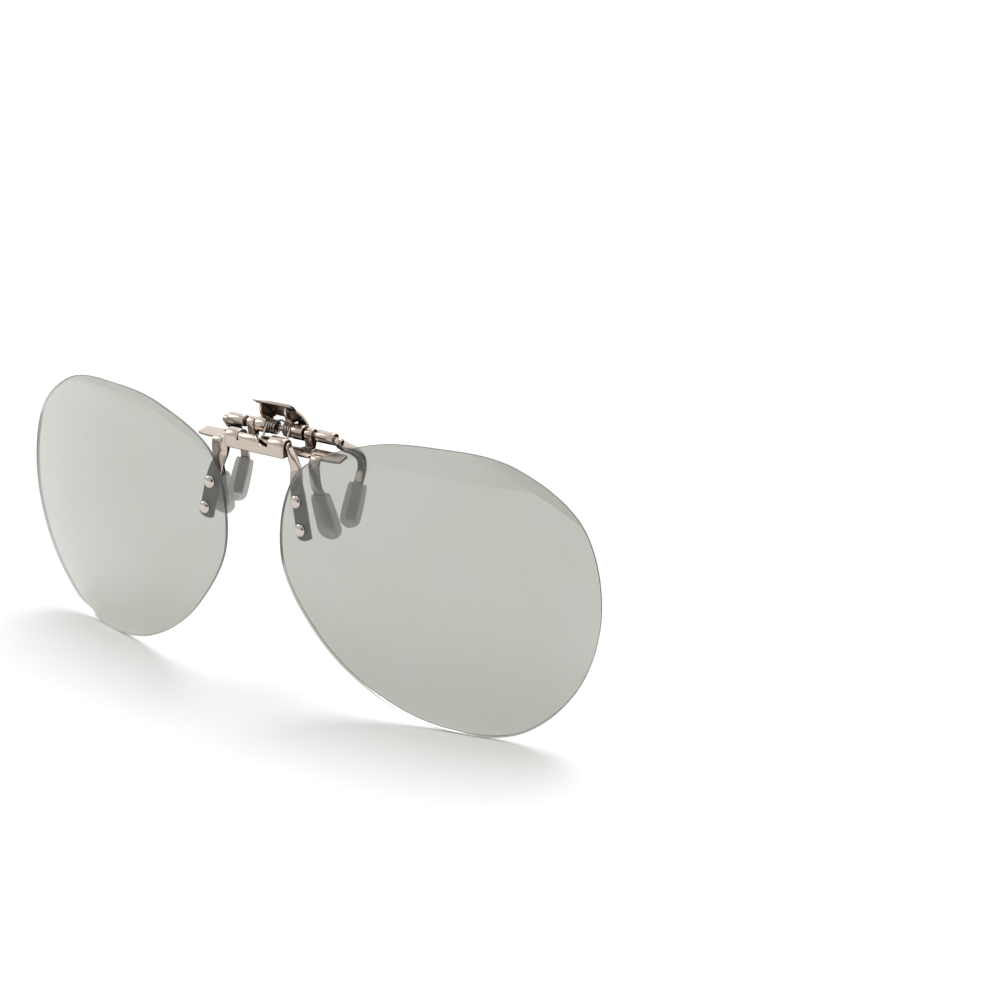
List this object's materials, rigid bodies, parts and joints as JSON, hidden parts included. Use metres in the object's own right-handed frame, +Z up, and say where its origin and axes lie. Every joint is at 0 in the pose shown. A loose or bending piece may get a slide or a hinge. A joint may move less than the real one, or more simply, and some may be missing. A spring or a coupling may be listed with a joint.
{
  "type": "clip on sunglasses",
  "caption": "Flip-up clip-on sunglasses: tinted lenses on a flip hinge, held by a spring clamp with a thumb lever and soft-sleeved prongs.",
  "frame": {"origin": "middle of the clip plate's underside, the face that rests above the host glasses' bridge", "axes": "+X to the wearer's left (the viewer's right seen from the front), +Y back towards the wearer, +Z up"},
  "size_m": [0.1298, 0.0153, 0.0528],
  "materials": {
    "plated_steel": "polished warm nickel plate on stamped steel",
    "spring_steel": "drawn spring wire and leaf, lightly polished",
    "rivet_steel": "mirror polished domed heads",
    "silicone": "frosted translucent silicone",
    "tinted_lens": "glossy see-through neutral grey tint, polished edge"
  },
  "bodies": {
    "front_clip": {"front_clip_plate": "plated_steel", "flip_hinge_housing": "plated_steel", "flip_detent_spring": "spring_steel", "clamp_torsion_spring": "spring_steel", "left_front_sleeve": "silicone", "right_front_sleeve": "silicone"},
    "rear_clip": {"main_hinge_pin": "plated_steel", "thumb_lever": "plated_steel", "left_rear_arm": "plated_steel", "right_rear_arm": "plated_steel", "left_rear_sleeve": "silicone", "right_rear_sleeve": "silicone"},
    "lens_unit": {"flip_shaft": "plated_steel", "left_lens_arm": "plated_steel", "right_lens_arm": "plated_steel", "left_lens": "tinted_lens", "right_lens": "tinted_lens", "left_upper_rivet": "rivet_steel", "left_lower_rivet": "rivet_steel", "right_upper_rivet": "rivet_steel", "right_lower_rivet": "rivet_steel"}
  },
  "joints": [
    {"name": "lens_flip", "type": "hinge", "parent": "front_clip", "child": "lens_unit", "pos_m": [0, -0.0035, 0.002], "axis": [-1, 0, 0], "range_deg": [0, 90]},
    {"name": "clamp_open", "type": "hinge", "parent": "front_clip", "child": "rear_clip", "pos_m": [0, 0.0031, 0.00255], "axis": [1, 0, 0], "range_deg": [-4, 28], "stiffness_Nm_per_rad": 0.01, "springref_deg": -57.3, "deforming": ["clamp_torsion_spring"]}
  ]
}
